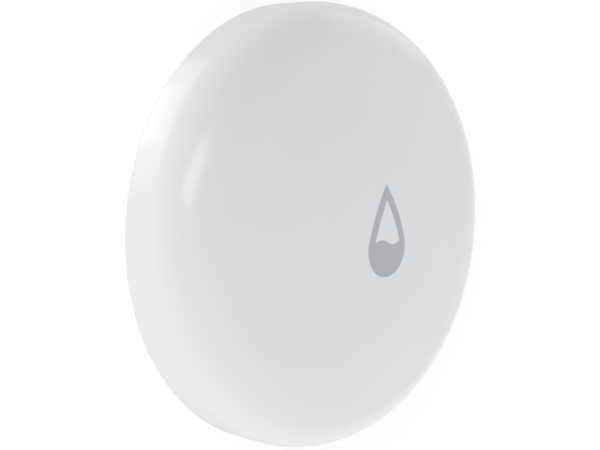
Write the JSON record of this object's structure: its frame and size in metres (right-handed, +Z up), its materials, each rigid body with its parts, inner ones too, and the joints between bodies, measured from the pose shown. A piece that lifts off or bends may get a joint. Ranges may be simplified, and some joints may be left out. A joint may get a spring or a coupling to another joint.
{
  "type": "water leak sensor",
  "caption": "Small round domed battery sensor that lies on the floor and reports water between metal probes under its base; coin-turned battery door, press point on top.",
  "frame": {"origin": "on the floor plane, under the middle of the round body", "axes": "+Z up through the dome, +Y towards the tip of the drop mark on the dome, +X to the right of the mark"},
  "size_m": [0.05, 0.05, 0.015],
  "materials": {
    "cover_white": "smooth glossy white moulding with a faint cool tint",
    "base_white": "fine spark-eroded matt white moulding",
    "seal_grey": "soft grey silicone",
    "seal_black": "black rubber",
    "cell_steel": "drawn stainless sheet",
    "sheet_steel": "bright stamped sheet",
    "screw_steel": "zinc-plated steel",
    "probe_nickel": "polished nickel plate",
    "turned_brass": "turned brass",
    "spring_gold": "gold-flashed spring bronze",
    "black_plastic": "matt black moulding",
    "board_green": "green solder resist on glass-fibre board",
    "lamp_lens": "clear bluish epoxy lens",
    "chip_tan": "fired ceramic"
  },
  "bodies": {
    "housing": {"top_cover": "cover_white", "press_membrane": "cover_white", "base_shell": "base_white", "case_seal": "seal_grey", "cell_can": "cell_steel", "cell_ring": "black_plastic", "cell_cap": "cell_steel", "battery_holder": "black_plastic", "positive_contact": "spring_gold", "negative_contact": "spring_gold", "circuit_board": "board_green", "switch_body": "black_plastic", "switch_frame": "sheet_steel", "switch_dome": "sheet_steel", "status_led": "lamp_lens", "radio_shield": "sheet_steel", "radio_chip": "black_plastic", "crystal": "sheet_steel", "antenna": "spring_gold", "chip_capacitors": "chip_tan", "probe_screws": "probe_nickel", "probe_seals": "seal_black", "probe_standoffs": "turned_brass", "board_screws": "screw_steel"},
    "door": {"battery_door": "base_white", "door_seal": "seal_black"},
    "button": {"press_plate": "base_white", "switch_plunger": "black_plastic"}
  },
  "joints": [
    {"name": "battery_door_twist", "type": "hinge", "parent": "housing", "child": "door", "pos_m": [0, 0, 0.0005], "axis": [0, 0, -1], "range_deg": [0, 45]},
    {"name": "button_press", "type": "slide", "parent": "housing", "child": "button", "axis": [0, 0, -1], "range_m": [0, 0.00025], "stiffness_N_per_m": 6400, "deforming": ["press_membrane", "switch_dome"]}
  ]
}
